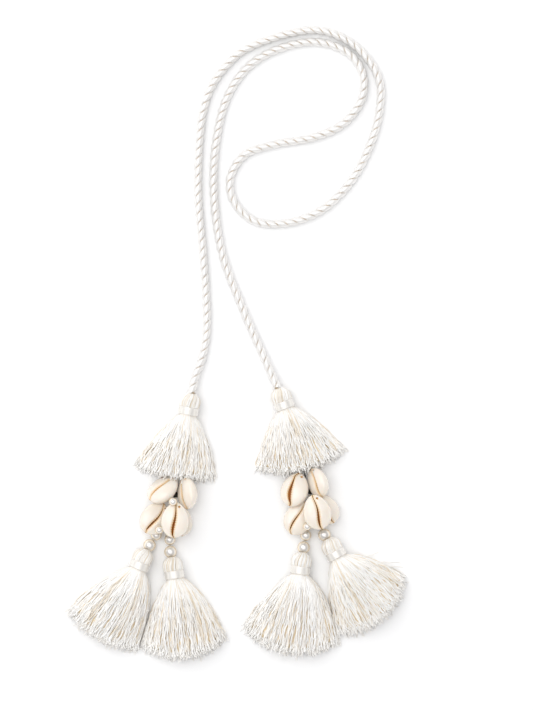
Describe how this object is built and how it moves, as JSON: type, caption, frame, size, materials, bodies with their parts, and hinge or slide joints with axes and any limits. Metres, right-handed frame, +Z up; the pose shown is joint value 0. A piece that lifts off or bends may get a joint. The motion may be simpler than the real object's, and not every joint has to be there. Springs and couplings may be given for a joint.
{
  "type": "tassel cord",
  "caption": "Long twisted silky cord, doubled over and lying flat, with a fringed tassel on each end that carries a cluster of cowrie shells, pearl beads and longer fringed tassels.",
  "frame": {"origin": "on the surface that the object lies on, at the middle of the box round the tassels, shells and pearls, with the cord left out", "axes": "+Z up from the surface; +Y from the tassels towards the far end of the cord's loop; +X from the left end's cluster to the right end's"},
  "size_m": [0.1707, 0.3182, 0.0178],
  "materials": {
    "cord": "satin",
    "tassel_yarn": "satin",
    "wound_binding": "satin",
    "cowrie_shell": "gloss",
    "pearl": "gloss",
    "dark_thread": "matte",
    "pale_thread": "satin"
  },
  "bodies": {
    "root": {"twisted_cord": "cord", "upper_tassel_left": "tassel_yarn", "upper_tassel_right": "tassel_yarn", "lower_tassel_1": "tassel_yarn", "lower_tassel_2": "tassel_yarn", "lower_tassel_3": "tassel_yarn", "lower_tassel_4": "tassel_yarn", "upper_binding_left": "wound_binding", "upper_binding_right": "wound_binding", "lower_binding_1": "wound_binding", "lower_binding_2": "wound_binding", "lower_binding_3": "wound_binding", "lower_binding_4": "wound_binding", "cowrie_left_1": "cowrie_shell", "cowrie_left_2": "cowrie_shell", "cowrie_left_3": "cowrie_shell", "cowrie_left_4": "cowrie_shell", "cowrie_left_5": "cowrie_shell", "cowrie_right_1": "cowrie_shell", "cowrie_right_2": "cowrie_shell", "cowrie_right_3": "cowrie_shell", "cowrie_right_4": "cowrie_shell", "cowrie_right_5": "cowrie_shell", "small_pearl_left_1": "pearl", "small_pearl_left_2": "pearl", "small_pearl_right_1": "pearl", "pearl_1_1": "pearl", "pearl_1_2": "pearl", "pearl_2_1": "pearl", "pearl_2_2": "pearl", "pearl_3_1": "pearl", "pearl_3_2": "pearl", "pearl_4_1": "pearl", "knot_left": "dark_thread", "knot_right": "dark_thread", "strand_thread_1": "pale_thread", "strand_thread_2": "pale_thread", "strand_thread_3": "pale_thread", "strand_thread_4": "pale_thread"}
  },
  "joints": []
}
